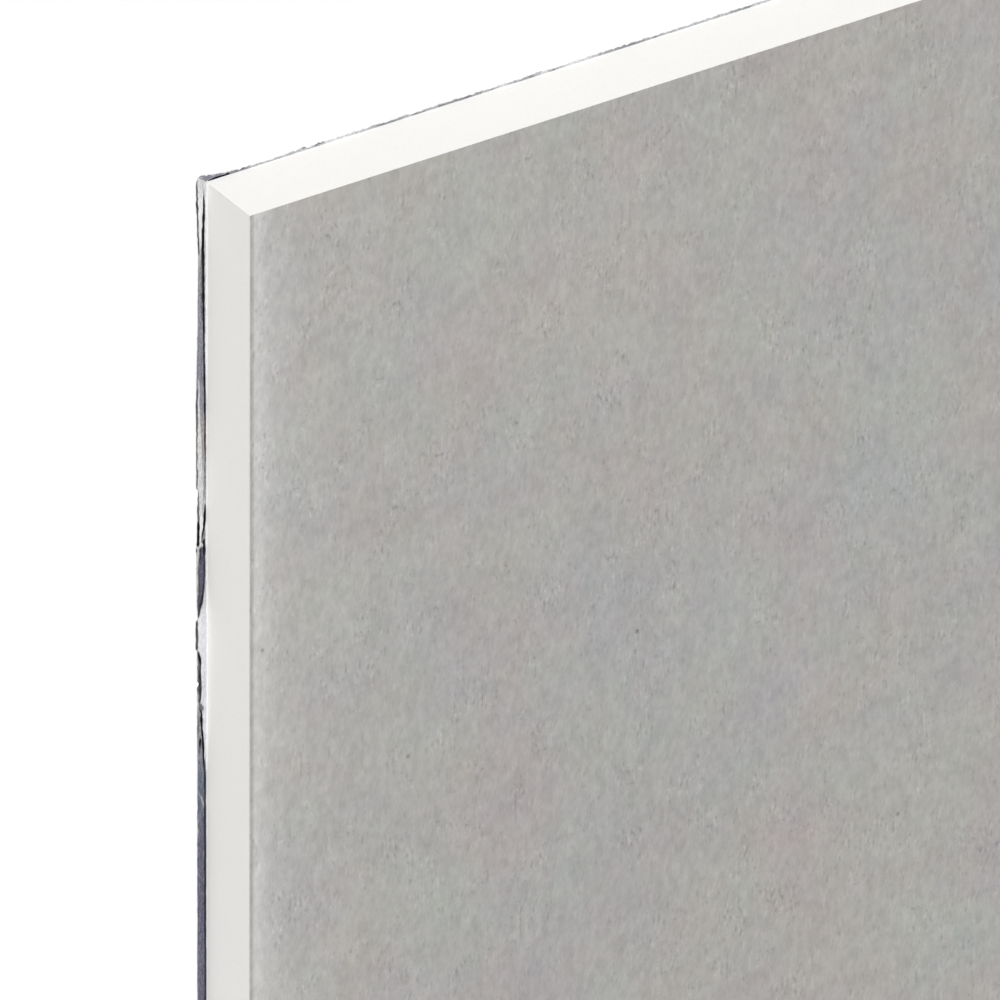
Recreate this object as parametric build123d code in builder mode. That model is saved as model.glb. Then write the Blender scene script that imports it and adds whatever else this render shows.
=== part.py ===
from build123d import *
from math import pi, sin, sqrt
import os

# A foil-backed drywall sheet, lying face up on its film. X runs along its length, Y across
# its width and Z out of its face. The origin is the middle of its underside.
# Every size is in millimetres.

# The whole board
board_length = 2400.0
board_width = 1200.0
board_thickness = 12.5  # with its face paper and its backing

# Face paper, flat right out to the square arrises
face_paper_thickness = 0.35

# Backing: a liner stuck to the core, faced with a metallised film
backing_thickness = 0.4
film_thickness = 0.1

# Loose film that runs past the core and keeps just clear of the floor
film_turn_up = 0.05  # how far its underside is off the floor where it leaves the bonded sheet
side_margin = 2.0  # the most that it runs past a long edge
side_margin_waver = 0.45  # how much less it is where the cut wandered in
ripple_crest_reach = 1.0  # how far out from the edge a ripple is at its highest
ripple_crest_lift = 0.25  # how much higher than its start a ripple's crest can be
lip_lift = 0.15  # how much higher than its start the cut lip can be
end_margin = 0.3  # past each sawn end
corner_ear_reach = 1.5  # past each sawn end at a corner, where the film is torn wider
corner_ear_width = 4.5  # along the end, from the corner to where the tear stops
crease_pitch = 20.0  # about how far apart the ripples' creases are

# Worked out from those
half_width = board_width / 2
core_top = board_thickness - face_paper_thickness
core_thickness = core_top - backing_thickness
backing_length = board_length + 2 * end_margin
side_film_length = board_length + 2 * corner_ear_reach
crease_count = round(side_film_length / crease_pitch)
crest_turn = pi * (3 - sqrt(5))  # this turn from crease to crease never repeats a ripple
lip_turn = crest_turn / 2
waver_turn = 2 * crest_turn / 3


def wave(turn, step):
    """Gives a share from 0 to 1 that swings from one crease to the next."""
    return 0.5 + 0.5 * sin(turn * step)


# Gypsum core, sawn square all round
with BuildPart() as gypsum_core:
    with BuildSketch(Plane.XY.offset(backing_thickness)):
        Rectangle(board_length, board_width)
    extrude(amount=core_thickness)

# Face paper, bonded to the core and cut off flush with it
with BuildPart() as face_paper:
    with BuildSketch(Plane.XY.offset(core_top)):
        Rectangle(board_length, board_width)
    extrude(amount=face_paper_thickness)

# Backing: the bonded sheet first, then what its film has loose past the edges
with BuildPart() as foil_backing:
    with BuildSketch():
        Rectangle(backing_length, board_width)
    extrude(amount=backing_thickness)

    # Ears at the four corners, as thin as the film
    with BuildSketch(Plane.XY.offset(film_turn_up)):
        with BuildLine():
            Polyline(
                (-backing_length / 2, -half_width),
                (-side_film_length / 2, -half_width),
                (-backing_length / 2, -half_width + corner_ear_width),
                close=True,
            )
        make_face()
        mirror(about=Plane.XZ)
        mirror(about=Plane.YZ)
    extrude(amount=film_thickness)

    # Rippled film along the near long edge, with one thin bent section at each crease
    for crease in range(crease_count + 1):
        along = side_film_length * (crease / crease_count - 0.5)
        reach = half_width + side_margin - side_margin_waver * wave(waver_turn, crease)
        crest = film_turn_up + ripple_crest_lift * wave(crest_turn, crease)
        lip = film_turn_up + lip_lift * wave(lip_turn, crease)
        with BuildSketch(Plane.YZ.offset(along)):
            with BuildLine():
                Polyline(
                    (-half_width, film_turn_up),
                    (-half_width - ripple_crest_reach, crest),
                    (-reach, lip),
                    (-reach, lip + film_thickness),
                    (-half_width - ripple_crest_reach, crest + film_thickness),
                    (-half_width, film_turn_up + film_thickness),
                    close=True,
                )
            make_face()
    loft(ruled=True)
    mirror(about=Plane.XZ)

gypsum_core.part.label = "gypsum_core"
face_paper.part.label = "face_paper"
foil_backing.part.label = "foil_backing"

os.makedirs("parts", exist_ok=True)
export_step(gypsum_core.part, "parts/gypsum_core.step")
export_step(face_paper.part, "parts/face_paper.step")
export_step(foil_backing.part, "parts/foil_backing.step")
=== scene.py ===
import math
import random
from typing import NamedTuple

import bpy
from bpy.props import FloatProperty, FloatVectorProperty, IntProperty, PointerProperty
from mathutils import Matrix, Vector, noise


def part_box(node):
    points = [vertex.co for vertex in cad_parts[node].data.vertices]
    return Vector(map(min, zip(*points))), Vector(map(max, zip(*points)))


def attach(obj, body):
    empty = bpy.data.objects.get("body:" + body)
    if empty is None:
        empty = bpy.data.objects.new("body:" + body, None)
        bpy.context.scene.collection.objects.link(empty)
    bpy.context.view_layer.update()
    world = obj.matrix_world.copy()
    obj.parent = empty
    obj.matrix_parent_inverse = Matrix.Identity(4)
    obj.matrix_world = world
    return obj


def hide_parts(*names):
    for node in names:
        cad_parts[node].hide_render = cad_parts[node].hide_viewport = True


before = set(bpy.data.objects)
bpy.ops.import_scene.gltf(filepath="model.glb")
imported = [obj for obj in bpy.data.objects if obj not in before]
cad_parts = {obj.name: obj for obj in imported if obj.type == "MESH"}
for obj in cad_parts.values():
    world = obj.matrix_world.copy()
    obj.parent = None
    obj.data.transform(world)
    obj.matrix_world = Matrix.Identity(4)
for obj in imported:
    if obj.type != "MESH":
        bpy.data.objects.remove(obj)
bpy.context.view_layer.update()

bl_info = {
    "name": "Foil-backed drywall sheet",
    "version": (1, 0, 0),
    "blender": (4, 5, 0),
    "location": "3D View > Sidebar > Drywall",
    "description": "Dresses a drywall sheet: its gypsum, its face paper, its crumpled film and a studio",
    "category": "Object",
}

MM = 0.001
CORE_LOW, CORE_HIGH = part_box("gypsum_core")
PAPER_LOW, PAPER_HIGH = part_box("face_paper")
FILM_LOW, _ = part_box("foil_backing")


# Colours that the loose film shows, all painted light: painted reflections from its lit face down to dark
# ones, and painted shade down to the bottom of a crease


def display(red, green, blue):
    """Turns a colour as a screen shows it, from 0 to 255, into the linear one that shaders take."""

    def linear(level):
        share = level / 255
        return share / 12.92 if share <= 0.04045 else ((share + 0.055) / 1.055) ** 2.4

    return tuple(linear(level) for level in (red, green, blue))


WHITE = display(235, 235, 236)
BRIGHT = display(226, 226, 230)
PALE = display(217, 217, 218)
SILVER = display(192, 192, 194)
BEIGE = display(170, 165, 163)
GREY = display(157, 157, 160)
LAVENDER = display(148, 148, 159)
SLATE = display(124, 130, 144)
NAVY = display(114, 113, 130)
PURPLE = display(104, 99, 122)
# Painted shade: dim, dark on a lip, and black at the bottom of a crease
DIM_SHADE = display(86, 84, 87)
DARK_SHADE = display(46, 45, 50)
CREASE = display(9, 8, 11)
SUNK = (CREASE, DARK_SHADE, DIM_SHADE)  # those of folds that lie lower than the film round them


# Shader maths


class Value:
    """A number that changes over a surface. Maths on it adds Math nodes to its material."""

    def __init__(self, surface, socket):
        self.surface = surface
        self.socket = socket

    def maths(self, operation, *inputs):
        values = dict(enumerate(inputs))
        node = self.surface.node("ShaderNodeMath", {"operation": operation}, values)
        return Value(self.surface, node.outputs[0])

    def __add__(self, other):
        return self.maths("ADD", self, other)

    def __radd__(self, other):
        return self.maths("ADD", other, self)

    def __sub__(self, other):
        return self.maths("SUBTRACT", self, other)

    def __rsub__(self, other):
        return self.maths("SUBTRACT", other, self)

    def __mul__(self, other):
        return self.maths("MULTIPLY", self, other)

    def size(self):
        """Without its sign."""
        return self.maths("ABSOLUTE", self)

    def at_least(self, low):
        return self.maths("MAXIMUM", self, low)

    def at_most(self, high):
        return self.maths("MINIMUM", self, high)

    def decay(self, distance):
        """1 where this is 0, and less and less further on."""
        return self.maths("EXPONENT", self * (-1 / distance))

    def rise(self, start, end):
        """0 below start and 1 above end, with a smooth step between. It falls where end is less."""
        settings = {"interpolation_type": "SMOOTHSTEP"}
        low, high = sorted((start, end))
        to_low, to_high = (0.0, 1.0) if start < end else (1.0, 0.0)
        values = {"Value": self, "From Min": low, "From Max": high, "To Min": to_low, "To Max": to_high}
        node = self.surface.node("ShaderNodeMapRange", settings, values)
        return Value(self.surface, node.outputs["Result"])


class Surface:
    """A material, or the world, its nodes made as its pattern is written."""

    def __init__(self, owner):
        self.owner = owner
        owner.use_nodes = True
        self.tree = owner.node_tree
        self.tree.nodes.clear()

    def node(self, kind, settings=None, values=None):
        """Adds a node: its settings first, and then the values or links of its sockets."""
        made = self.tree.nodes.new(kind)
        for name, setting in (settings or {}).items():
            setattr(made, name, setting)
        for name, value in (values or {}).items():
            if isinstance(value, Value):
                value = value.socket
            if isinstance(value, bpy.types.NodeSocket):
                self.tree.links.new(value, made.inputs[name])
            else:
                made.inputs[name].default_value = value
        return made

    def place(self):
        """Where a point of the piece is, in metres from the sheet's origin."""
        return self.node("ShaderNodeTexCoord").outputs["Object"]

    def split(self, vector):
        """The three numbers of a place or a colour."""
        made = self.node("ShaderNodeSeparateXYZ", values={"Vector": vector})
        return [Value(self, made.outputs[axis]) for axis in "XYZ"]

    def stretched(self, place, sizes, offset=(0.0, 0.0, 0.0), lean=0.0):
        """Coordinates in which a grain of these sizes, in metres, is one unit each way."""
        if lean:
            turn = {"Vector": place, "Rotation": (0.0, 0.0, lean)}
            place = self.node("ShaderNodeMapping", values=turn).outputs["Vector"]
        values = {"Vector": place, "Scale": tuple(1 / size for size in sizes), "Location": offset}
        return self.node("ShaderNodeMapping", values=values).outputs["Vector"]

    def noise(self, place, sizes, detail=0.0, roughness=0.5, distortion=0.0, offset=(0.0, 0.0, 0.0)):
        """Cloudy noise from about -1 to 1, in grains of these sizes."""
        values = {"Vector": self.stretched(place, sizes, offset), "Scale": 1.0, "Detail": detail}
        values |= {"Roughness": roughness, "Distortion": distortion}
        made = self.node("ShaderNodeTexNoise", {"normalize": False}, values)
        return Value(self, made.outputs[0])

    def cells(self, place, sizes, feature="F1", lean=0.0):
        """Distance to the nearest of many scattered points, as a share of how far apart they are."""
        values = {"Vector": self.stretched(place, sizes, lean=lean), "Scale": 1.0}
        made = self.node("ShaderNodeTexVoronoi", {"feature": feature}, values)
        return Value(self, made.outputs["Distance"])

    def mix(self, factor, first, second):
        """A colour between two colours."""
        settings = {"data_type": "RGBA", "clamp_factor": True}
        made = self.node("ShaderNodeMix", settings, {0: factor})
        for index, colour in ((6, first), (7, second)):
            if isinstance(colour, bpy.types.NodeSocket):
                self.tree.links.new(colour, made.inputs[index])
            else:
                made.inputs[index].default_value = (*colour, 1.0)
        return made.outputs[2]

    def tinted(self, colour, red, green, blue):
        """The colour, with each of its channels times a number that changes over the surface."""
        factors = self.node("ShaderNodeCombineXYZ", values={"X": red, "Y": green, "Z": blue})
        values = {0: colour, 1: factors.outputs[0]}
        return self.node("ShaderNodeVectorMath", {"operation": "MULTIPLY"}, values).outputs[0]

    def brighten(self, colour, amount):
        """The colour times a number that changes over the surface."""
        return self.tinted(colour, amount, amount, amount)

    def bump(self, height, depth):
        """A relief of a height from 0 to 1, as deep as said, in metres."""
        values = {"Height": height, "Distance": depth, "Strength": 1.0}
        return self.node("ShaderNodeBump", values=values).outputs["Normal"]

    def finish(self, **sockets):
        """Ends in a shader whose sockets hold these values or links."""
        values = {name.replace("_", " "): value for name, value in sockets.items()}
        shader = self.node("ShaderNodeBsdfPrincipled", values=values)
        self.node("ShaderNodeOutputMaterial", values={"Surface": shader.outputs[0]})
        return self.owner


def new_surface(name):
    return Surface(bpy.data.materials.new(name))


def dress(piece, material):
    """Gives a piece one material all over."""
    piece.data.materials.clear()
    piece.data.materials.append(material)


# Settings


def length(name, description, default):
    return FloatProperty(name=name, description=description, default=default, unit="LENGTH", min=0.0)


def colour(name, description, default):
    return FloatVectorProperty(
        name=name, description=description, default=default, subtype="COLOR", size=3, min=0.0, max=1.0
    )


def share(name, description, default):
    return FloatProperty(name=name, description=description, default=default, subtype="FACTOR", min=0.0)


def angle(name, description, default):
    return FloatProperty(name=name, description=description, default=default, subtype="ANGLE")


def count(name, description, default):
    return IntProperty(name=name, description=description, default=default, min=4)


class GypsumSettings(bpy.types.PropertyGroup):
    colour: colour("Gypsum", "Bare gypsum, cut", display(240, 239, 236))
    tone: share("Tone", "How much its tone changes from place to place", 0.012)
    pore: length("Pore size", "How far apart its fine pores are", 0.6 * MM)


class PaperSettings(bpy.types.PropertyGroup):
    colour: colour("Paper", "Grey recycled paper", display(168.2, 166.2, 163.2))
    pale: colour("Rubbed paper", "Where an edge was rubbed paler", display(196.6, 195.8, 193.8))
    cut: colour("Cut paper", "Its cut edge, dusted with gypsum", display(240, 239, 236))
    fibre_width: length("Fibre width", "How wide a fibre is", 0.52 * MM)
    fibre_length: length("Fibre length", "How long a fibre is, along the sheet", 1.15 * MM)
    dark_fibre: share("Dark fibres", "How much darker the fibres in a hollow are", 0.14)
    light_fibre: share("Light fibres", "How much lighter the fibres that stand out are", 0.115)
    grain: share("Grain", "How much the streaks between the fibres change the tone", 0.11)
    clots: share("Clots", "How much the pulp's clots change the tone", 0.052)
    warmth: share("Warmth", "How much warmer or cooler the pulp is from place to place", 0.048)
    drift: share("Drift", "How much warmer or cooler it slowly gets across the sheet", 0.031)
    bloom: share("Bloom", "How much pinker or greener it is", 0.041)
    specks: share("Specks", "How much darker the specks in the pulp are", 0.35)
    highlight_strength: share("Highlight", "How hard the paper is rubbed beside a long edge", 1.23)
    band: length("Highlit band", "How far in from a long edge the paper is rubbed", 2.8 * MM)
    fade: length("Fade", "How far in from it the paper is a little paler", 18 * MM)


class FilmSettings(bpy.types.PropertyGroup):
    thickness: length("Thickness", "Of the loose film", 0.06 * MM)
    rows: count("Rows", "Points across the loose film of a long edge", 31)
    hem_rows: count("Hem rows", "Points across the loose film of a sawn end", 13)
    liner: colour("Liner", "The paper that the film is stuck to", display(235, 235, 235))
    silver: colour("Silver", "The film, flat and facing down", display(214, 215, 220))
    crinkle: length("Crinkle size", "How wide the film's crinkles are", 9 * MM)
    burr: length("Burr", "How far the liner's cut edge sticks out at its foot", 0.08 * MM)


class StudioSettings(bpy.types.PropertyGroup):
    world: share("World strength", "How strongly the world lights the sheet", 0.5)
    sun: share("Sun strength", "How strong the one soft lamp is", 2.64)
    sun_angle: angle("Sun size", "How wide the soft lamp looks", math.radians(20))
    floor_colour: colour("Floor", "The plain pale floor", (0.5, 0.5, 0.5))
    floor_glow: share("Floor glow", "How much of its white the floor keeps in a shadow", 0.5)
    floor_size: length("Floor size", "Of one side", 900.0)
    lens: FloatProperty(
        name="Lens", description="Focal length, in millimetres", default=1600.0, min=1.0, unit="CAMERA"
    )
    picture: length("Picture width", "Width of what the camera takes in", 155 * MM)
    turn: angle("Turn", "Of the view, from the face towards a long edge", math.radians(33.1))
    rise: angle("Rise", "Of the view, from the face towards a sawn end", math.radians(30.45))
    corner_across: share("Corner across", "Where the sheet's corner is, across the picture", 0.2499)
    corner_down: share("Corner down", "Where the sheet's corner is, down the picture", 0.2160)
    roll: angle("Roll", "Of the camera, against the clock", 0.0039)


# Gypsum and paper, which keep the shapes they have


class DRYWALL_OT_gypsum(bpy.types.Operator):
    """Finish the gypsum core: pale, matt and finely porous where it was cut"""

    bl_idname = "drywall.gypsum"
    bl_label = "Dress the gypsum core"

    def execute(self, context):
        settings = context.scene.drywall_gypsum
        surface = new_surface("cut_gypsum")
        place = surface.place()
        cloud = surface.noise(place, (14 * MM, 14 * MM, 6 * MM), detail=3.0)
        powder = surface.noise(place, (settings.pore,) * 3, detail=2.0)
        pores = surface.cells(place, (2.2 * MM,) * 3).rise(0.09, 0.04)
        # The pores are painted a little darker: painted shade in them
        tone = 1 + cloud * settings.tone * 0.5 + powder * settings.tone - pores * 0.05
        material = surface.finish(
            Base_Color=surface.brighten(settings.colour, tone),
            Roughness=0.95,
            Specular_IOR_Level=0.2,
            Normal=surface.bump(powder * 0.5 - pores, 0.02 * MM),
        )
        dress(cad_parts["gypsum_core"], material)
        return {"FINISHED"}


# What the paper's warmth and its bloom add to its red, green and blue
WARM = (0.6, -0.06, -0.54)
PINK = (-0.25, -1.2, -0.25)


class DRYWALL_OT_paper(bpy.types.Operator):
    """Finish the face paper: grey recycled pulp, its fibres lying along the sheet"""

    bl_idname = "drywall.paper"
    bl_label = "Dress the face paper"

    def execute(self, context):
        settings = context.scene.drywall_paper
        surface = new_surface("recycled_paper")
        place = surface.place()
        along, across, height = surface.split(place)
        from_side = PAPER_HIGH.y - across.size()
        from_end = PAPER_HIGH.x - along.size()

        # The tone of its fibres, its clots and its specks
        fibres = surface.noise(place, (settings.fibre_length, settings.fibre_width, settings.fibre_width))
        crowd = 0.85 + surface.noise(place, (5.5 * MM, 4.5 * MM, 5 * MM), detail=1.0) * 1.5
        crowd = crowd.at_least(0.0)
        streaks = surface.noise(place, (1.7 * MM, 1.0 * MM, 1.0 * MM), detail=1.0)
        clots = surface.noise(place, (3.6 * MM, 2.3 * MM, 3 * MM), detail=1.0)
        clots += surface.noise(place, (9 * MM, 7 * MM, 7 * MM), detail=1.0) * 0.8
        clouds = surface.noise(place, (70 * MM, 60 * MM, 60 * MM), detail=2.0)
        tone = 1 + fibres * 0.07 + streaks * settings.grain + clots * settings.clots + clouds * 0.02
        tone -= fibres.rise(0.2, 0.54) * crowd * settings.dark_fibre
        tone += fibres.rise(-0.2, -0.54) * crowd * settings.light_fibre
        # Specks are scattered bits, each a little longer than wide
        specks = surface.cells(place, (19 * MM, 17 * MM, 17 * MM), lean=-0.4).rise(0.032, 0.012)
        tone -= specks * settings.specks

        # Its tint, which changes from place to place
        sizes = (18.7 * MM, 17 * MM, 17 * MM)
        warmth = surface.noise(place, sizes, detail=4.0, roughness=0.7, offset=(7.0, 2.0, 0.0))
        sizes = (17 * MM, 18.7 * MM, 17 * MM)
        bloom = surface.noise(place, sizes, detail=4.0, roughness=0.7, offset=(1.0, 9.0, 4.0))
        drift = surface.noise(place, (80 * MM, 75 * MM, 75 * MM), detail=1.0, offset=(6.0, 6.0, 0.0))
        warmth = warmth * settings.warmth + drift * settings.drift
        bloom *= settings.bloom
        channels = (tone + warmth * warm + bloom * pink for warm, pink in zip(WARM, PINK))
        pulp = surface.tinted(settings.colour, *channels)

        # Paler beside a long edge: a band of painted highlight where the paper rolls over the eased
        # arris, held back just short of the arris, paler right on the arris, a little paler further in,
        # and a little paler near the ends
        highlit = from_side.decay(settings.band) * settings.highlight_strength + from_side.decay(settings.fade) * 0.3
        highlit *= from_side.rise(0.3 * MM, 1.2 * MM)
        highlit += from_side.rise(0.25 * MM, 0.05 * MM) * 0.5
        highlit += from_end.decay(60 * MM) * 0.1
        wear_and_highlight = surface.mix(highlit, pulp, surface.brighten(settings.pale, tone))
        cut = height.rise(PAPER_HIGH.z - 0.01 * MM, PAPER_HIGH.z - 0.06 * MM)
        material = surface.finish(
            Base_Color=surface.mix(cut, wear_and_highlight, settings.cut),
            Roughness=0.9,
            Specular_IOR_Level=0.25,
            Normal=surface.bump(fibres, 0.02 * MM),
        )
        dress(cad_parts["face_paper"], material)
        return {"FINISHED"}


# Film

# Lengths, in millimetres
CREASE_DEPTH = 0.05  # how much lower the bottom of a crease is
FLOOR_GAP = 0.04  # how far the film's underside keeps off the floor
LEAST_GAP = 0.01  # how far it keeps off it even in a crease
LEAST_WIDTH = 0.02  # of a crease, and of the film itself
LEAST_REACH = 0.06  # from the core to the film's lip
TUCK = 0.02  # how far the loose film goes in under the liner
# The lit strip beside the core is a painted highlight, blending into the film's painted reflection
LIT_BLEND = 0.08  # over which the lit strip beside the core turns into the film's own tint

CREASE_SIDE = 0.25  # the share of a crease's half width in which it fades out
BAKE_BANDS = 24  # the short lengths, side by side, that a long strip is laid out in
BAKE_END, BAKE_SIDE = 0.02, 0.1  # the share of such a band that is left free at each end and side


def clamp(number):
    """The number, or 0 or 1 where it is past them."""
    return min(1.0, max(0.0, number))


def blend(first, second, amount):
    """A colour between two colours."""
    return tuple(a + (b - a) * amount for a, b in zip(first, second))


def along_list(points, along):
    """Reads a list of (place, value) pairs, straight from pair to pair."""
    for (start, first), (end, second) in zip(points, points[1:]):
        if along <= end:
            passed = clamp((along - start) / (end - start))
            if isinstance(first, tuple):
                return blend(first, second, passed)
            return first + (second - first) * passed
    return points[-1][1]


def waver(along, wavelength, seed):
    """Smooth chance from about -1 to 1 along an edge, another one for each seed."""
    return 1.6 * noise.noise(Vector((along / wavelength, 17.3 * seed, 5.1 * seed)))


class Crease(NamedTuple):
    """What a fold is at one place along the edge, in millimetres."""

    middle: float
    half: float
    colour: tuple
    cover: float

    def over(self, out):
        """How much of the film's painted reflection it covers at a point with its own painted shade,
        highlight or reflection, from 0 to 1.
        """
        return self.cover * clamp((1 - abs(out - self.middle) / self.half) / CREASE_SIDE)


class Fold:
    """A crease in painted shade in the loose film, or a patch of another painted reflection or highlight.

    Each point of its path is three lengths in millimetres: along the edge from the sheet's corner, out
    from the core or, where it is less than nothing, in from the film's lip, and how wide the fold is.
    """

    def __init__(self, colour, cover, *path):
        self.colour, self.cover = colour, cover
        self.path = [(along, (out, width)) for along, out, width in path]
        self.seed = 7.3 * path[0][0] + path[-1][1]

    def at(self, along, reach):
        """The crease that it makes at a place, or nothing."""
        if not self.path[0][0] < along < self.path[-1][0]:
            return None
        middle, width = along_list(self.path, along)
        middle += reach if middle < 0 else 0.0
        # It winds a little, and is wider here and narrower there
        middle += 0.03 * waver(along, 1.9, self.seed) + 0.02 * waver(along, 0.7, self.seed + 1)
        width *= 1 + 0.25 * waver(along, 1.3, self.seed + 2)
        return Crease(middle, max(LEAST_WIDTH, width) / 2, self.colour, self.cover)


# The loose film beside the corner that faces the camera, as it was torn and creased there
CORNER_LIP = (
    (-1.42, 1.25), (-1.35, 1.42), (-1.2, 1.62), (-0.9, 1.83), (-0.5, 1.95), (0.0, 2.0), (1.5, 2.04),
    (4.0, 1.95), (6.3, 1.91), (8.4, 1.91), (12.0, 1.68), (15.6, 1.62), (20.7, 1.69), (26.4, 1.74),
    (31.7, 1.88), (38.9, 2.0), (46.0, 1.95), (54.6, 2.0), (54.9, 1.7), (57.5, 1.7), (58.0, 1.76),
    (62.4, 1.8), (63.4, 1.9), (64.8, 1.93), (65.2, 1.97), (75.8, 1.93), (76.7, 1.84), (78.2, 1.7),
    (78.4, 2.0), (80.0, 2.04), (83.7, 2.04), (84.1, 1.84), (89.6, 1.82), (89.8, 1.46), (90.4, 1.44),
    (90.6, 1.82), (101.0, 1.76), (150.0, 1.74),
)
# The film's painted reflection from the corner on, as it turns towards the light and away: pale and
# white, through grey and lavender, to navy
CORNER_SHEENS = (
    (-2.0, PALE), (1.0, PALE), (2.8, WHITE), (9.5, WHITE), (12.5, SILVER), (15.6, GREY),
    (26.0, LAVENDER), (40.0, LAVENDER), (43.0, BEIGE), (48.0, BEIGE), (53.0, SILVER), (57.0, PALE),
    (60.0, WHITE), (64.0, WHITE), (66.0, SILVER), (76.0, PALE), (78.5, BRIGHT), (93.0, BRIGHT),
    (96.0, GREY), (103.0, LAVENDER), (107.0, SLATE), (113.0, SLATE), (118.0, NAVY), (150.0, NAVY),
)
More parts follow.
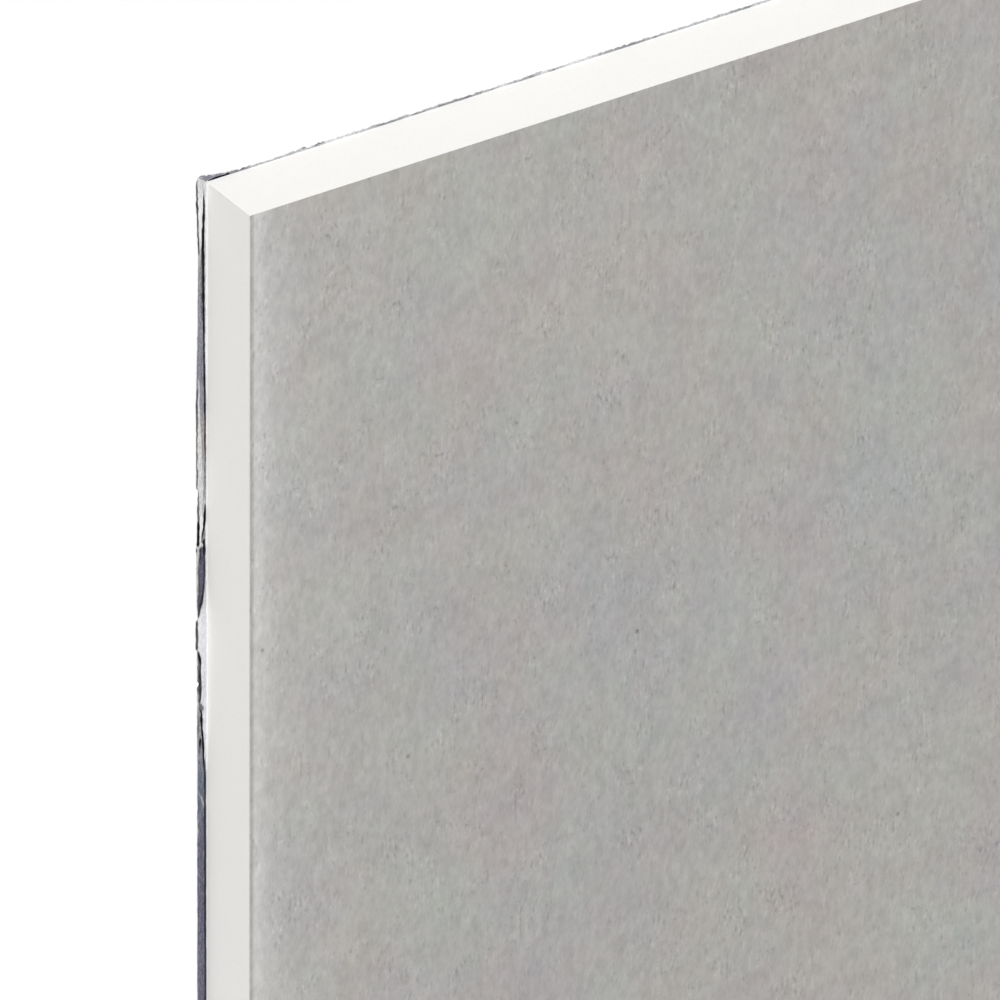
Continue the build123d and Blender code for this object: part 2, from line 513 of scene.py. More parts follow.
CORNER_FOLDS = (
    # Its lip in painted shade, the painted shade of a dent, the deep groove behind it in painted shade, a
    # dim patch of painted shade, and a strip of painted highlight beside the core
    Fold(
        DARK_SHADE, 0.95, (-1.5, -0.08, 0.1), (-0.7, -0.11, 0.2), (0, -0.15, 0.32), (4, -0.18, 0.4),
        (12, -0.16, 0.34), (13, -0.15, 0),
    ),
    Fold(
        LAVENDER, 1.0, (-1.45, 1.5, 0), (-1.3, 1.4, 0.3), (-0.9, 0.84, 0.5), (-0.36, 0.2, 0.42),
        (-0.05, 0, 0),
    ),
    Fold(SILVER, 0.45, (-0.2, 0.9, 0), (0.6, 0.76, 0.45), (1.8, 0.65, 0.36), (3, 0.6, 0)),
    Fold(
        CREASE, 1.0, (1.0, 0.62, 0), (2.2, 0.64, 0.26), (4, 0.64, 0.42), (5.7, 0.7, 0.56),
        (8.4, 0.77, 0.74), (12, 0.82, 0.7), (15.6, 0.72, 0.5), (21, 0.72, 0.54), (26.4, 0.64, 0.42),
        (31.8, 0.57, 0.44), (39, 0.46, 0.4), (46, 0.42, 0.34), (50, 0.41, 0.26), (54, 0.42, 0.2),
        (57, 0.42, 0.16), (58.4, 0.42, 0),
    ),
    Fold(DIM_SHADE, 0.45, (11, 1.0, 0), (14, 0.96, 0.4), (22, 1.0, 0.4), (25, 0.9, 0)),
    Fold(
        WHITE, 1.0, (10, 0.2, 0), (13, 0.2, 0.34), (16, 0.2, 0.4), (27, 0.2, 0.4), (33, 0.18, 0.3),
        (38, 0.16, 0),
    ),
    # The lip turns up, in painted shade, and shows a white sliver of painted highlight inside it
    Fold(
        DARK_SHADE, 0.72, (36.6, -0.14, 0.2), (39, -0.17, 0.4), (46, -0.16, 0.44), (54.5, -0.19, 0.5),
        (54.9, -0.15, 0),
    ),
    Fold(
        PALE, 0.95, (34.5, 1.52, 0), (36, 1.52, 0.2), (39, 1.55, 0.3), (46, 1.42, 0.6), (53, 1.3, 1.0),
        (57.5, 1.1, 1.4), (60, 1.1, 0),
    ),
    Fold(GREY, 0.7, (50, 0.5, 0.2), (53, 0.55, 0.4), (57, 0.75, 0.3), (60, 0.9, 0)),
    # Two creases in painted shade that run together, one of them through a dim patch of painted shade
    Fold(
        DIM_SHADE, 0.9, (55, -0.1, 0.2), (57.6, -0.13, 0.34), (58, -0.18, 0.5), (61.2, -0.22, 0.6),
        (61.8, -0.2, 0),
    ),
    Fold(
        CREASE, 1.0, (60.4, -0.2, 0), (61.4, -0.22, 0.5), (63.5, -0.27, 0.6), (64.9, -0.3, 0.66),
        (65.1, -0.3, 0),
    ),
    Fold(
        DIM_SHADE, 0.85, (61.0, 0.5, 0), (61.8, 0.56, 0.5), (62.6, 0.64, 0.8), (63.6, 0.7, 0.86),
        (64.5, 0.76, 0.86), (64.9, 0.78, 0),
    ),
    Fold(GREY, 0.9, (62.8, 0.5, 0), (63.4, 0.52, 0.4), (64.2, 0.56, 0.6), (64.5, 0.6, 0)),
    Fold(
        CREASE, 1.0, (57, 0.36, 0), (58.2, 0.4, 0.36), (59.2, 0.44, 0.66), (60.6, 0.47, 0.72),
        (61.6, 0.54, 0.5), (62.4, 0.66, 0.34), (63.2, 0.84, 0.28), (64, 0.92, 0),
    ),
    # A hollow of purple painted reflection, open towards the lip and shut by a crease in painted shade
    # towards the core
    Fold(
        PURPLE, 1.0, (65.1, 1.0, 0), (65.8, 0.95, 0.9), (68, 0.98, 1.25), (72, 1.02, 1.3),
        (74, 1.18, 1.15), (75.5, 1.36, 0.85), (76.7, 1.52, 0.5), (78, 1.64, 0),
    ),
    Fold(
        DIM_SHADE, 0.8, (66.5, 1.5, 0), (69, 1.52, 0.4), (72.5, 1.5, 0.55), (75, 1.42, 0.85),
        (76.7, 1.5, 0.6), (78.2, 1.66, 0),
    ),
    Fold(DARK_SHADE, 0.9, (65.2, 1.27, 0), (65.8, 1.26, 0.4), (67.3, 1.27, 0.34), (68.6, 1.32, 0)),
    Fold(
        CREASE, 1.0, (63.9, 0.56, 0), (64.3, 0.57, 0.56), (65.8, 0.56, 0.62), (66.8, 0.56, 0.5),
        (67.4, 0.56, 0),
    ),
    Fold(
        DARK_SHADE, 0.95, (66, 0.54, 0.4), (70, 0.54, 0.46), (72, 0.58, 0.46), (73.1, 0.68, 0.42),
        (74, 0.86, 0.42), (74.9, 1.03, 0.42), (75.8, 1.2, 0.42), (76.7, 1.38, 0.42), (77.6, 1.52, 0.3),
        (78.3, 1.62, 0),
    ),
    Fold(DARK_SHADE, 0.9, (65.3, -0.07, 0), (65.8, -0.07, 0.3), (66.4, -0.07, 0)),
    Fold(
        CREASE, 0.9, (78.4, -0.12, 0.24), (79, -0.17, 0.46), (82, -0.18, 0.5), (83.6, -0.18, 0.46),
        (83.9, -0.16, 0),
    ),
    # A band of painted shade, mottled, with a nick in its lip
    Fold(
        DIM_SHADE, 0.9, (83.8, 1.74, 0), (84.4, 1.62, 0.45), (85.2, 1.52, 0.62), (86, 1.46, 0.72),
        (87.2, 1.46, 0.66), (88.4, 1.44, 0.76), (89.5, 1.42, 0.7), (90.1, 1.26, 0.5), (90.6, 1.4, 0.74),
        (93.2, 1.46, 0.6), (93.9, 1.46, 0),
    ),
    Fold(
        CREASE, 1.0, (84.2, 1.64, 0), (84.9, 1.52, 0.42), (85.6, 1.36, 0.5), (86.2, 1.28, 0.4),
        (86.8, 1.28, 0),
    ),
    Fold(
        DARK_SHADE, 0.95, (86.2, 1.3, 0.2), (87.2, 1.34, 0.26), (88.2, 1.34, 0.42), (89.6, 1.32, 0.44),
        (91, 1.3, 0.32), (92, 1.3, 0.4), (93, 1.3, 0.3), (93.5, 1.3, 0),
    ),
    Fold(GREY, 0.6, (86.4, 1.56, 0), (86.9, 1.56, 0.18), (87.4, 1.55, 0)),
    Fold(GREY, 0.6, (91.6, 1.58, 0), (92.3, 1.56, 0.2), (92.9, 1.56, 0)),
    # The lit face beside the core, a painted highlight, and the crease in painted shade that shuts it off
    Fold(
        BRIGHT, 1.0, (92, 0.3, 0.9), (95, 0.42, 1.3), (98, 0.36, 1.05), (100.9, 0.26, 0.86),
        (103, 0.2, 0.7), (104.5, 0.14, 0.56), (106.5, 0.1, 0),
    ),
    Fold(
        DIM_SHADE, 0.8, (93.3, 1.38, 0), (93.9, 1.28, 0.7), (94.4, 1.16, 0.95), (94.9, 1.14, 0.8),
        (95.3, 1.3, 0),
    ),
    Fold(DIM_SHADE, 0.55, (95, -0.2, 0.2), (96.5, -0.22, 0.4), (98.3, -0.2, 0.36), (99.3, -0.2, 0)),
    Fold(
        CREASE, 1.0, (94.6, 1.18, 0), (95.1, 1.16, 0.38), (96.4, 1.09, 0.44), (98.2, 1.0, 0.46),
        (100.9, 0.81, 0.48), (102.7, 0.7, 0.48), (104.5, 0.6, 0.42), (107, 0.5, 0),
    ),
    Fold(DIM_SHADE, 0.6, (99.4, 1.32, 0), (100.2, 1.32, 0.6), (102, 1.32, 0.6), (103.5, 1.32, 0)),
    Fold(CREASE, 0.95, (99.9, 1.3, 0), (100.4, 1.31, 0.46), (101.3, 1.31, 0.42), (101.9, 1.3, 0)),
    # One long stretch of painted shade and dark painted reflection, with a few small painted highlights
    Fold(
        DARK_SHADE, 0.9, (104, 0.5, 0), (107, 0.42, 0.42), (111, 0.35, 0.56), (118, 0.42, 0.5),
        (125, 0.34, 0.58), (150, 0.36, 0.46),
    ),
    Fold(NAVY, 0.7, (106, 1.4, 0), (112, 1.35, 0.5), (120, 1.4, 0.5), (135, 1.3, 0.4), (150, 1.35, 0)),
    Fold(
        SILVER, 0.6, (109.8, 1.45, 0), (110.4, 1.28, 0.3), (111.2, 0.95, 0.34), (112.2, 0.66, 0.26),
        (113.2, 0.6, 0),
    ),
    Fold(SILVER, 0.7, (114.2, -0.12, 0), (114.8, -0.12, 0.24), (115.3, -0.12, 0)),
    Fold(SILVER, 0.7, (116.2, -0.14, 0), (116.9, -0.14, 0.3), (117.5, -0.1, 0)),
    Fold(SILVER, 0.6, (120.4, 0.66, 0), (121.3, 0.66, 0.24), (122.3, 0.62, 0)),
)
CORNER_STRETCH = 150.0

# The film past the sawn end beside that corner: a torn ear, and then a ragged hem
EAR_LIP = (
    (-1.22, 1.43), (0.0, 1.24), (1.4, 1.04), (3.0, 0.82), (3.9, 0.72), (4.2, 0.56), (6.9, 0.62),
    (7.3, 0.5), (12.0, 0.48), (14.5, 0.54), (17.2, 0.54), (17.9, 0.76), (18.3, 0.54), (19.8, 0.58),
    (20.7, 0.78), (21.8, 0.56),
)
# The ear's painted reflection, lavender to silver
EAR_SHEENS = ((-1.22, LAVENDER), (3.9, LAVENDER), (4.3, GREY), (7.5, GREY), (8.0, SILVER), (21.8, SILVER))
# The ear's groove and dents in painted shade, and painted highlights on its lip
EAR_FOLDS = (
    Fold(
        CREASE, 1.0, (0.1, 0.04, 0), (0.4, 0.09, 0.4), (0.9, 0.14, 0.56), (1.7, 0.19, 0.64),
        (3.9, 0.29, 0.64), (4.4, 0.3, 0),
    ),
    Fold(SILVER, 0.7, (0.6, -0.12, 0), (1.2, -0.16, 0.24), (1.9, -0.12, 0)),
    Fold(PALE, 0.6, (2.8, -0.1, 0), (3.3, -0.14, 0.22), (3.9, -0.1, 0)),
    Fold(DIM_SHADE, 0.7, (6.2, -0.1, 0), (6.9, -0.1, 0.3), (7.4, -0.1, 0)),
    Fold(DIM_SHADE, 0.7, (17.3, -0.1, 0), (17.9, -0.14, 0.26), (18.4, -0.1, 0)),
    Fold(DIM_SHADE, 0.8, (19.6, -0.1, 0), (20.4, -0.14, 0.34), (21.2, -0.14, 0.24), (22.0, -0.1, 0)),
)
EAR_STRETCH = 22.0


class Edge(NamedTuple):
    """One edge of the sheet's underside: its first corner, and the ways along and out."""

    name: str
    corner: Vector
    along: Vector
    out: Vector
    length: float


class Section(NamedTuple):
    """What the film is like across, at one place along its edge, in millimetres."""

    root: float
    reach: float
    sheen: tuple
    creases: tuple


class LooseFilm:
    """What the film has loose beyond one edge: its lip, its painted reflections and its folds in painted
    shade and highlight, in millimetres.
    """

    def __init__(self, edge, seed):
        self.edge = edge
        self.chance = random.Random(seed)
        self.seed = seed
        self.lip, self.sheens, self.folds = [], [], []

    def places(self):
        """Where its sections are: close together where the camera looks, and further apart elsewhere."""
        places, end = [-self.overhang], self.edge.length + self.overhang
        while places[-1] < end - 0.01:
            places.append(min(end, places[-1] + along_list(self.steps, places[-1])))
        return places

    def root(self, along):
        """How far out the film starts: at the core, but further out past a corner, at its neighbour."""
        past = -along if along < self.edge.length / 2 else along - self.edge.length
        return self.seam_out * max(0.0, past - self.seam_start) / (self.overhang - self.seam_start)

    def section(self, along):
        root = self.root(along)
        coarse, fine = self.ragged
        rough = waver(along, coarse, self.seed) + 0.8 * waver(along, fine, self.seed + 1)
        lip = along_list(self.lip, along) + self.roughness * rough
        reach = max(root + LEAST_WIDTH, LEAST_REACH, lip)
        creases = (fold.at(along, reach) for fold in self.folds)
        return Section(root, reach, along_list(self.sheens, along), tuple(filter(None, creases)))

    def sheen(self, section, along, out):
        """The film's painted light at a point: its painted reflection, the painted shade or highlight of
        its creases and the painted highlight of the lit strip beside the core; and how deep in a crease
        it is.
        """
        shown, deep = section.sheen, 0.0
        for crease in section.creases:
            cover = crease.over(out)
            if cover > 0:
                shown = blend(shown, crease.colour, cover)
                deep = max(deep, cover) if crease.colour in SUNK else deep * (1 - cover)
        # The lit strip beside the core, painted as a highlight in BRIGHT
        lit = along_list(self.lit_root, along) + 0.04 * waver(along, 1.1, self.seed + 4)
        lit_share = clamp((lit - out + section.root) / LIT_BLEND)
        return blend(shown, BRIGHT, lit_share), deep * (1 - lit_share)


class Margin(LooseFilm):
    """Loose film beyond a long edge, crumpled all along."""

    roughness = 0.035  # how far its lip wavers in and out
    ragged = (2.3, 0.9)  # how long the coarse and the fine waves of that are
    overhang = 1.42  # how far it goes on past a corner
    seam_start, seam_out = 0.38, 1.22  # where its root leaves the core there, and how far out it ends
    crest, crest_waver, lift = 0.16, 0.1, 0.06  # how high it rises, how unevenly, and how high its lip is
    # How wide the lit strip beside the core is, from the corner on
    lit_root = ((-0.4, -1.0), (0.2, 0.22), (98.0, 0.22), (106.0, 0.13), (150.0, 0.15), (156.0, 0.22))

    def __init__(self, edge, seed, corner):
        super().__init__(edge, seed)
        place = -self.overhang

        # How far apart its sections are, from the corner on
        fine, last = (0.26, 128.0) if corner else (0.6, 8.0)
        self.steps = [(place, 0.1), (1.0, 0.1), (3.0, fine), (last, fine), (last + 30, 2.6)]
        self.steps += [(edge.length - 30, 2.6), (edge.length - 3, 0.5), (edge.length, 0.12)]

        if corner:
            self.lip, self.sheens, self.folds = list(CORNER_LIP), list(CORNER_SHEENS), list(CORNER_FOLDS)
            place = CORNER_STRETCH
        else:
            # Away from the camera: a plain lip, its painted reflection silver at first
            self.lip = [(place, 1.25), (-1.2, 1.6), (-0.8, 1.8), (0.1, 1.9)]
            self.sheens = [(place, SILVER)]
        while place < edge.length - 12:
            place = self.crumple(place)
        # The lip rounds the far corner, and its painted reflection turns pale there
        end = edge.length
        self.lip += [(end - 0.1, 1.9), (end + 0.8, 1.8), (end + 1.2, 1.6), (end + self.overhang, 1.25)]
        self.sheens += [(end + self.overhang, PALE)]

    def crumple(self, place):
        """Goes on along the edge with one more stretch, drawn by chance, and says where it ends."""
        chance = self.chance
        end = min(place + chance.uniform(9.0, 34.0), self.edge.length - 2)
        middle = (place + end) / 2
        # Each stretch has its own painted reflection, a groove in painted shade, and by chance a lip in
        # painted shade, a hollow of purple painted reflection and a strip of painted highlight
        sheen = chance.choice((BRIGHT, SILVER, GREY, LAVENDER, LAVENDER, SLATE, NAVY, NAVY))
        reach = chance.uniform(1.65, 2.0)
        inner, outer = chance.uniform(0.34, 0.6), chance.uniform(0.34, 0.6)
        wide = chance.uniform(0.34, 0.6)
        self.sheens += [(place + 0.25 * (end - place), sheen), (end - 0.1 * (end - place), sheen)]
        self.lip += [(place + 1.0, reach), (end - 0.4, reach + chance.uniform(-0.12, 0.12))]
        groove = ((place - 3, inner, 0), (place, inner, wide), (end, outer, wide), (end + 3, outer, 0))
        self.folds.append(Fold(CREASE, 1.0, *groove))
        if chance.random() < 0.6:
            start = chance.uniform(place, end)
            lip = ((start, -0.15, 0), (start + 1, -0.15, 0.36), (start + 9, -0.15, 0))
            self.folds.append(Fold(DARK_SHADE, 0.9, *lip))
        if chance.random() < 0.3:
            hollow = ((place, inner + 0.5, 0), (middle, inner + 0.5, 1.1), (end, reach - 0.3, 0))
            self.folds.append(Fold(PURPLE, 1.0, *hollow))
        if chance.random() < 0.3:
            self.folds.append(Fold(WHITE, 1.0, (place, 1.45, 0), (middle, 1.38, 0.3), (end, 1.3, 0)))
        return end

    def height(self, along, out, reach):
        """How high the film's underside is, less its folds."""
        passed = max(0.0, out / reach)
        crest = self.crest + self.crest_waver * waver(along, 11.0, self.seed + 2)
        lip = self.lift * (1 + waver(along, 7.0, self.seed + 3))
        return FLOOR_GAP + crest * math.sin(math.pi * passed**0.8) + lip * passed


class Hem(LooseFilm):
    """Loose film beyond a sawn end: a ragged hem with an ear at each corner."""

    roughness = 0.12
    ragged = (0.6, 0.24)
    overhang = 1.22
    seam_start, seam_out = -0.44, 1.42
    lift = 0.05
    lit_root = ((0.0, -1.0),)  # it has none

    def __init__(self, edge, seed, corner):
        super().__init__(edge, seed)

        # How far apart its sections are, from the corner on
        fine, last = (0.1, 100.0) if corner else (0.5, 8.0)
        self.steps = [(-self.overhang, 0.12), (2.0, 0.12), (5.0, fine), (last, fine), (last + 20, 1.6)]
        self.steps += [(edge.length - 20, 1.6), (edge.length - 5, 0.4), (edge.length, 0.12)]

        self.lip, self.sheens, self.folds = list(EAR_LIP), list(EAR_SHEENS), list(EAR_FOLDS)
        place = EAR_STRETCH
        while place < edge.length - 12:
            # Each short stretch has its own painted reflection, and by chance a dent in painted shade
            end = place + self.chance.uniform(0.6, 5.0)
            self.lip.append((place, self.chance.uniform(0.5, 0.62)))
            self.sheens.append((place, self.chance.choice((PALE, SILVER, SILVER, GREY))))
            if self.chance.random() < 0.3:
                dent = ((place, 0.24, 0), (place + 0.5, 0.3, 0.22), (end, 0.34, 0))
                self.folds.append(Fold(DIM_SHADE, 0.8, *dent))
            place = end
        end = edge.length
        self.lip += [(end - 8.0, 0.42), (end - 4.4, 0.55), (end, 1.2), (end + self.overhang, 1.43)]
        # Near the far corner the painted reflection turns darker, and a groove in painted shade runs to
        # it
        self.sheens += [(end - 5.0, GREY), (end - 4.0, LAVENDER)]
        groove = ((end - 4.6, 0.36, 0), (end - 2, 0.3, 0.42), (end - 0.4, 0.1, 0))
        self.folds.append(Fold(CREASE, 1.0, *groove))

    def height(self, along, out, reach):
        """How high the film's underside is, less its folds."""
        return FLOOR_GAP + self.lift * max(0.0, out / reach) * (1 + waver(along, 1.7, self.seed + 2))


def make_grid(name, columns, rows):
    """Adds a flat grid to shape."""
    bpy.ops.object.select_all(action="DESELECT")
    bpy.ops.mesh.primitive_grid_add(x_subdivisions=columns - 1, y_subdivisions=rows - 1, size=1.0)
    piece = bpy.context.object
    piece.name = piece.data.name = name
    return piece


def apply(piece, kind, **settings):
    """Adds a modifier and applies it."""
    modifier = piece.modifiers.new(kind.title(), kind)
    for name, setting in settings.items():
        setattr(modifier, name, setting)
    bpy.ops.object.select_all(action="DESELECT")
    piece.select_set(True)
    bpy.context.view_layer.objects.active = piece
    bpy.ops.object.modifier_apply(modifier=modifier.name)


def join_frame(piece):
    """Lets a piece of the backing ride the sheet in place of the plain backing."""
    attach(piece, "root")
    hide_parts("foil_backing")


class DRYWALL_OT_backing(bpy.types.Operator):
    """Make the bonded backing: the paper liner on the core, and the film that faces it"""

    bl_idname = "drywall.backing"
    bl_label = "Make the bonded backing"

    def execute(self, context):
        settings = context.scene.drywall_film
        film_top = FILM_LOW.z + settings.thickness
        size = CORE_HIGH - CORE_LOW
        liner = self.add_slab("liner_sheet", size, film_top, CORE_LOW.z, settings.burr)
        dress(liner, self.liner_material(settings))
        film = self.add_slab("film_sheet", size, FILM_LOW.z, film_top, 0.0)
        dress(film, self.film_material(settings))
        return {"FINISHED"}

    def add_slab(self, name, size, low, high, burr):
        """Adds a flat slab as big as the core, wider at its foot by a burr all round."""
        bpy.ops.object.select_all(action="DESELECT")
        foot = Vector((size.x + 2 * burr, size.y + 2 * burr, high - low))
        bpy.ops.mesh.primitive_cube_add(size=1.0, location=(0, 0, (low + high) / 2), scale=foot)
        piece = bpy.context.object
        piece.name = piece.data.name = name
        bpy.ops.object.transform_apply(location=True, rotation=False, scale=True)
        bpy.ops.object.mode_set(mode="EDIT")
        bpy.ops.mesh.select_all(action="DESELECT")
        bpy.ops.object.mode_set(mode="OBJECT")
        for polygon in piece.data.polygons:
            polygon.select = polygon.normal.z > 0.5
        bpy.ops.object.mode_set(mode="EDIT")
        bpy.ops.transform.resize(value=(size.x / foot.x, size.y / foot.y, 1.0), center_override=(0, 0, 0))
        bpy.ops.object.mode_set(mode="OBJECT")
        join_frame(piece)
        return piece

    def liner_material(self, settings):
        surface = new_surface("liner_paper")
        fibres = surface.noise(surface.place(), (1.2 * MM, 0.3 * MM, 0.2 * MM), detail=2.0)
        tone = 0.985 + fibres * 0.02
        return surface.finish(Base_Color=surface.brighten(settings.liner, tone), Roughness=0.9)

    def film_material(self, settings):
        surface = new_surface("flat_film")
        place = surface.place()
        crinkle = surface.cells(place, (settings.crinkle,) * 3, "SMOOTH_F1")
        fine = surface.noise(place, (2.2 * MM,) * 3, detail=3.0, distortion=1.0)
        cloud = surface.noise(place, (60 * MM,) * 3, detail=3.0)
        return surface.finish(
            Base_Color=surface.brighten(settings.silver, 1 + cloud * 0.06 + fine * 0.04),
            Metallic=0.9,
            Roughness=0.32 + cloud * 0.06,
            Normal=surface.bump(crinkle + fine * 0.25, 0.25 * MM),
        )


class DRYWALL_OT_loose_film(bpy.types.Operator):
    """Make the loose film round the sheet: torn ears at its corners, folds along its long edges"""

    bl_idname = "drywall.loose_film"
    bl_label = "Make the loose film"

    def execute(self, context):
        settings = context.scene.drywall_film
        material = self.film_material()
        near_left = Vector((CORE_LOW.x, CORE_LOW.y, FILM_LOW.z))
        far_left = Vector((CORE_LOW.x, CORE_HIGH.y, FILM_LOW.z))
        near_right = Vector((CORE_HIGH.x, CORE_LOW.y, FILM_LOW.z))
        along, across = Vector((1, 0, 0)), Vector((0, 1, 0))
        long_edge = (CORE_HIGH.x - CORE_LOW.x) / MM
        short_edge = (CORE_HIGH.y - CORE_LOW.y) / MM
        edges = (
            Margin(Edge("near", near_left, along, -across, long_edge), seed=3, corner=True),
            Margin(Edge("far", far_left, along, across, long_edge), seed=8, corner=False),
            Hem(Edge("left", near_left, across, -along, short_edge), seed=5, corner=True),
            Hem(Edge("right", near_right, across, along, short_edge), seed=6, corner=False),
        )
        for film in edges:
            self.make_film(film, settings, material)
        return {"FINISHED"}

    def make_film(self, film, settings, material):
        edge = film.edge
        places = film.places()
        rows = settings.rows if isinstance(film, Margin) else settings.hem_rows
        piece = make_grid(f"loose_film_{edge.name}", len(places), rows)
        mesh = piece.data
        columns = [round((vertex.co.x + 0.5) * (len(places) - 1)) for vertex in mesh.vertices]
        steps = [vertex.co.y + 0.5 for vertex in mesh.vertices]
        upright = edge.along.cross(edge.out).z > 0  # else it is laid from its lip in, to face up
        self.add_uv(mesh, columns, steps, places)
        # The film's painted light, read by its material: painted reflection, painted shade and painted
        # highlight
        sheens = mesh.color_attributes.new("film_sheen", "FLOAT_COLOR", "POINT")
        sections = [film.section(along) for along in places]
        for vertex, column, step in zip(mesh.vertices, columns, steps):
            along, section = places[column], sections[column]
            out = section.root + (section.reach - section.root) * (step if upright else 1 - step)
            sheen, deep = film.sheen(section, along, out)
            up = max(LEAST_GAP, film.height(along, out, section.reach) - CREASE_DEPTH * deep)
            vertex.co = edge.corner + edge.along * along * MM + edge.out * (out - TUCK) * MM
            vertex.co.z += up * MM
            sheens.data[vertex.index].color = (*sheen, 1.0)
        mesh.update()
        apply(piece, "SOLIDIFY", thickness=settings.thickness, offset=1.0)
        self.part_undersides(mesh)
        bpy.ops.object.shade_smooth()
        dress(piece, material)
        join_frame(piece)

    def add_uv(self, mesh, columns, steps, places):
        """Lays the long strip out as short lengths side by side, so that a picture of it stays sharp."""
        while mesh.uv_layers:
            mesh.uv_layers.remove(mesh.uv_layers[0])
        layer = mesh.uv_layers.new(name="OFBake")
        stretch = (places[-1] - places[0]) / BAKE_BANDS
        for polygon in mesh.polygons:
            corners = [mesh.loops[index].vertex_index for index in polygon.loop_indices]
            middle = sum(places[columns[corner]] for corner in corners) / len(corners)
            band = min(BAKE_BANDS - 1, int((middle - places[0]) / stretch))
            for index, corner in zip(polygon.loop_indices, corners):
                passed = (places[columns[corner]] - places[0]) / stretch - band
                passed = BAKE_END + (1 - 2 * BAKE_END) * passed
                across = BAKE_SIDE + (1 - 2 * BAKE_SIDE) * steps[corner]
                layer.data[index].uv = (passed, (band + across) / BAKE_BANDS / 2)

    def part_undersides(self, mesh):
        """Moves the undersides to their own half of the layout."""
        layer = mesh.uv_layers["OFBake"]
        for polygon in mesh.polygons:
            if polygon.normal.z < 0:
                for index in polygon.loop_indices:
                    layer.data[index].uv.y += 0.5

    def film_material(self):
        """Metallised film: dull silver, streaked and scratched; its colour, read from the piece, is
        painted light: painted reflection, painted shade in its creases and a painted highlight beside the
        core.
        """
        surface = new_surface("loose_film")
        place = surface.place()
        sheen = surface.node("ShaderNodeVertexColor", {"layer_name": "film_sheen"}).outputs["Color"]
        red, _, _ = surface.split(sheen)
        streaks = surface.noise(place, (1.6 * MM, 0.22 * MM, 0.22 * MM), detail=2.0)
        flecks = surface.noise(place, (0.5 * MM, 0.3 * MM, 0.3 * MM), detail=1.0)
        # Wear: streaks and flecks, stronger where the painted reflection is darker
        wear_and_highlight = (streaks * 0.45 + flecks * 0.5) * (1.05 - red)
        return surface.finish(
            Base_Color=surface.brighten(sheen, 1 + wear_and_highlight),
            Metallic=0.9,
            Roughness=0.42 + red * 0.25,
            Normal=surface.bump(streaks, 0.03 * MM),
        )


# Studio

PLAIN_WHITE = (1.0, 1.0, 1.0, 1.0)
FLOOR_DROP = 0.02 * MM  # how far the floor keeps under the sheet, so that the two share no plane
SUN_FROM = (-0.57, -0.36, 0.5)  # the way towards the soft lamp


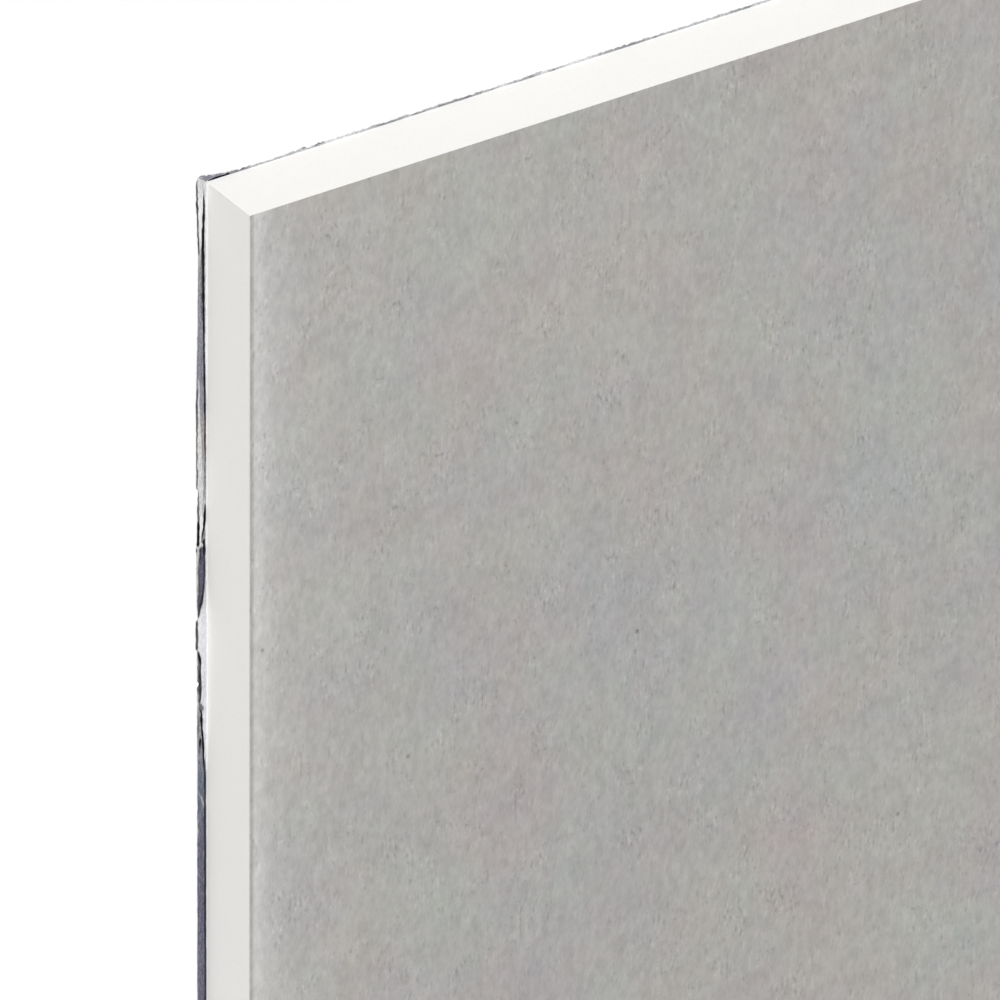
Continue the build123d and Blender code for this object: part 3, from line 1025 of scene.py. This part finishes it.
class DRYWALL_OT_studio(bpy.types.Operator):
    """Set the plain floor, the soft light and the camera"""

    bl_idname = "drywall.studio"
    bl_label = "Set the studio"

    def execute(self, context):
        settings = context.scene.drywall_studio
        self.set_floor(settings)
        self.set_world(context.scene, settings)
        self.set_sun(context.scene, settings)
        self.set_camera(context.scene, settings)
        context.scene.view_settings.view_transform = "Standard"
        return {"FINISHED"}

    def seen(self, surface):
        """1 for what the camera sees, straight or in a reflection, and 0 for what lights the sheet."""
        path = surface.node("ShaderNodeLightPath")
        kinds = ("Camera", "Glossy", "Transmission")
        camera, glossy, through = (Value(surface, path.outputs[f"Is {kind} Ray"]) for kind in kinds)
        return (camera + glossy + through).at_most(1.0)

    def set_floor(self, settings):
        bpy.ops.object.select_all(action="DESELECT")
        low = FILM_LOW.z - FLOOR_DROP
        bpy.ops.mesh.primitive_plane_add(size=settings.floor_size, location=(0, 0, low))
        floor = bpy.context.object
        floor.name = "floor"
        surface = new_surface("plain_floor")
        seen = self.seen(surface)
        colour = surface.mix(seen, settings.floor_colour, PLAIN_WHITE[:3])
        matt = surface.node("ShaderNodeBsdfDiffuse", values={"Color": colour})
        glow = surface.node("ShaderNodeEmission", values={"Color": PLAIN_WHITE, "Strength": 1.0})
        values = {0: seen * settings.floor_glow, 1: matt.outputs[0], 2: glow.outputs[0]}
        both = surface.node("ShaderNodeMixShader", values=values)
        surface.node("ShaderNodeOutputMaterial", values={"Surface": both.outputs[0]})
        dress(floor, surface.owner)

    def set_world(self, scene, settings):
        scene.world = bpy.data.worlds.new("plain_sky")
        sky = Surface(scene.world)
        seen = self.seen(sky)
        strength = settings.world + seen * (1 - settings.world)
        glow = sky.node("ShaderNodeBackground", values={"Color": PLAIN_WHITE, "Strength": strength})
        sky.node("ShaderNodeOutputWorld", values={"Surface": glow.outputs[0]})

    def set_sun(self, scene, settings):
        lamp = bpy.data.lights.new("soft_sun", "SUN")
        lamp.energy = settings.sun
        lamp.angle = settings.sun_angle
        sun = bpy.data.objects.new("soft_sun", lamp)
        sun.rotation_euler = Vector(SUN_FROM).to_track_quat("Z", "Y").to_euler()
        scene.collection.objects.link(sun)

    def set_camera(self, scene, settings):
        """Looks at the corner from the photograph's side, rolled so that the sheet's length runs down."""
        across, up_sheet, out = Vector((0, 1, 0)), Vector((-1, 0, 0)), Vector((0, 0, 1))
        level = out * math.cos(settings.turn) - across * math.sin(settings.turn)
        back = level * math.cos(settings.rise) + up_sheet * math.sin(settings.rise)
        up = up_sheet * math.cos(settings.rise) - level * math.sin(settings.rise)
        right = across * math.cos(settings.turn) + out * math.sin(settings.turn)
        turn = Matrix.Rotation(settings.roll, 3, back)
        right, up = turn @ right, turn @ up
        data = bpy.data.cameras.new("camera")
        data.sensor_width = 36.0
        data.lens = settings.lens
        distance = settings.picture * data.lens / data.sensor_width
        data.clip_start, data.clip_end = 0.1 * distance, 20 * distance
        corner = Vector((PAPER_LOW.x, PAPER_LOW.y, PAPER_HIGH.z))
        middle = corner + right * (0.5 - settings.corner_across) * settings.picture
        middle -= up * (0.5 - settings.corner_down) * settings.picture
        camera = bpy.data.objects.new("camera", data)
        facing = Matrix((right, up, back)).transposed().to_4x4()
        camera.matrix_world = Matrix.Translation(middle + back * distance) @ facing
        scene.collection.objects.link(camera)
        scene.camera = camera


# Panel and registration


class DRYWALL_PT_sheet(bpy.types.Panel):
    """Steps that dress the sheet, in order"""

    bl_idname = "DRYWALL_PT_sheet"
    bl_label = "Drywall sheet"
    bl_space_type = "VIEW_3D"
    bl_region_type = "UI"
    bl_category = "Drywall"

    def draw(self, context):
        for group, operator in STEPS:
            box = self.layout.box()
            settings = getattr(context.scene, group)
            for name in settings.__annotations__:
                box.prop(settings, name)
            box.operator(operator)


STEPS = (
    ("drywall_gypsum", "drywall.gypsum"),
    ("drywall_paper", "drywall.paper"),
    ("drywall_film", "drywall.backing"),
    ("drywall_film", "drywall.loose_film"),
    ("drywall_studio", "drywall.studio"),
)
GROUPS = {
    "drywall_gypsum": GypsumSettings,
    "drywall_paper": PaperSettings,
    "drywall_film": FilmSettings,
    "drywall_studio": StudioSettings,
}
CLASSES = (
    *GROUPS.values(),
    DRYWALL_OT_gypsum,
    DRYWALL_OT_paper,
    DRYWALL_OT_backing,
    DRYWALL_OT_loose_film,
    DRYWALL_OT_studio,
    DRYWALL_PT_sheet,
)


def register():
    for made in CLASSES:
        bpy.utils.register_class(made)
    for name, group in GROUPS.items():
        setattr(bpy.types.Scene, name, PointerProperty(type=group))


def unregister():
    for name in GROUPS:
        delattr(bpy.types.Scene, name)
    for made in reversed(CLASSES):
        bpy.utils.unregister_class(made)


def main():
    register()
    bpy.ops.drywall.gypsum()
    bpy.ops.drywall.paper()
    bpy.ops.drywall.backing()
    bpy.ops.drywall.loose_film()
    bpy.ops.drywall.studio()


if __name__ == "__main__":
    main()
